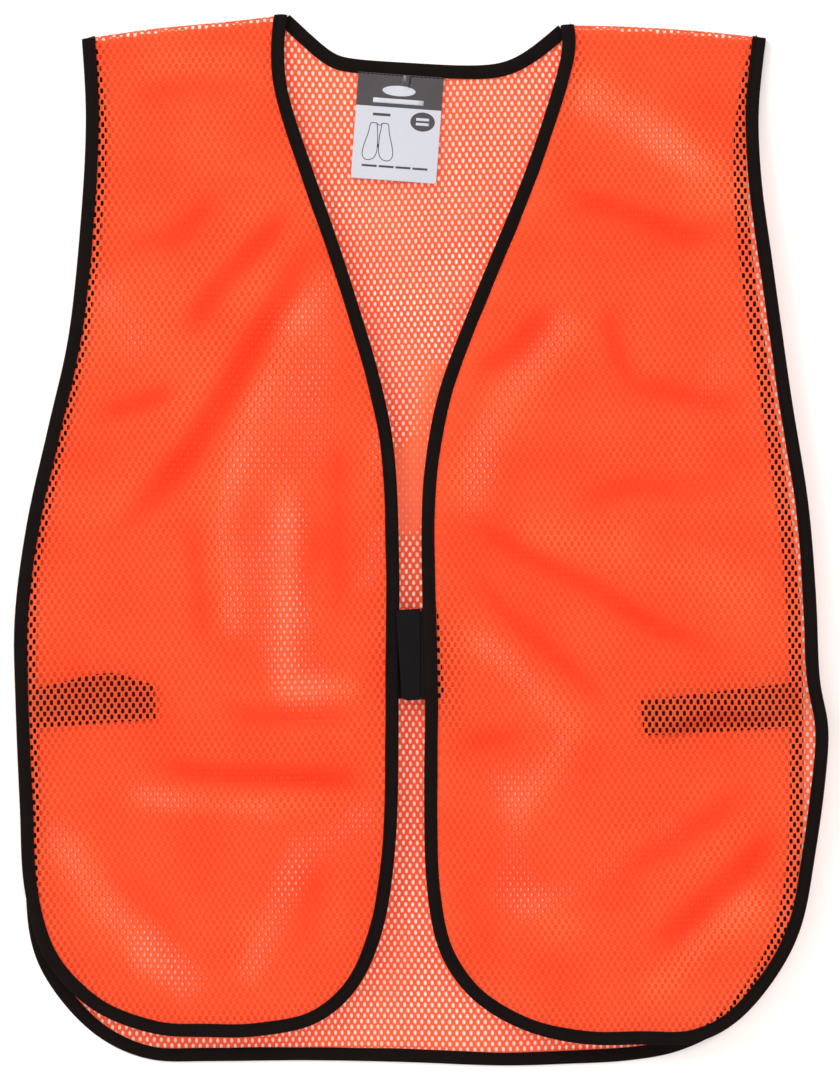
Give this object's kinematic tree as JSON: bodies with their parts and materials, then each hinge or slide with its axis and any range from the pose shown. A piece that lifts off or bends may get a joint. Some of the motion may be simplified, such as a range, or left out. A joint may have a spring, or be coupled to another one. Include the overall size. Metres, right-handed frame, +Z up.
{
  "type": "high visibility vest",
  "caption": "Sleeveless open-mesh safety vest laid flat, with bound edges, elastic side straps and a hook and loop front closure.",
  "frame": {"origin": "on the surface the vest lies on, under the middle of its outline", "axes": "+Z up from that surface, +Y from the hem to the shoulders, +X to the right as seen from above"},
  "size_m": [0.4656, 0.604, 0.0139],
  "materials": {
    "mesh": "fluorescent orange warp-knit mesh",
    "binding": "black woven binding tape",
    "elastic": "black woven elastic",
    "hook_and_loop": "black hook and loop tape",
    "label": "white satin label with a grey band",
    "thread": "black sewing thread"
  },
  "bodies": {
    "vest_body": {"back_panel": "mesh", "back_binding": "binding", "neck_binding": "binding", "left_side_panel": "mesh", "left_side_binding": "binding", "right_side_panel": "mesh", "right_side_binding": "binding", "left_shoulder_fold": "mesh", "right_shoulder_fold": "mesh", "left_side_strap": "elastic", "right_side_strap": "elastic", "back_stitching": "thread", "neck_stitching": "thread", "left_side_stitching": "thread", "right_side_stitching": "thread", "strap_stitching": "thread"},
    "left_front": {"left_front_panel": "mesh", "left_front_binding": "binding", "left_front_stitching": "thread", "hook_tape": "hook_and_loop", "hook_stitching": "thread"},
    "right_front": {"right_front_panel": "mesh", "right_front_binding": "binding", "right_front_stitching": "thread", "loop_tape_base": "hook_and_loop", "loop_stitching": "thread"},
    "closure_tab": {"loop_tape_tab": "hook_and_loop"},
    "label": {"neck_label": "label", "label_stitching": "thread"}
  },
  "joints": [
    {"name": "left_front_opens", "type": "hinge", "parent": "vest_body", "child": "left_front", "pos_m": [-0.111, -0.011, 0.0106], "axis": [-0.1272, -0.9919, 0], "range_deg": [0, 150]},
    {"name": "right_front_opens", "type": "hinge", "parent": "vest_body", "child": "right_front", "pos_m": [0.0925, -0.011, 0.0137], "axis": [-0.064, 0.998, 0], "range_deg": [0, 150]},
    {"name": "tab_peels", "type": "hinge", "parent": "right_front", "child": "closure_tab", "pos_m": [0.0002, -0.066, 0.0119], "axis": [0, 1, 0], "range_deg": [0, 75]},
    {"name": "label_lifts", "type": "hinge", "parent": "vest_body", "child": "label", "pos_m": [-0.01107, 0.26562, 0.0022], "axis": [-0.9973, 0.0732, 0], "range_deg": [0, 150]}
  ]
}
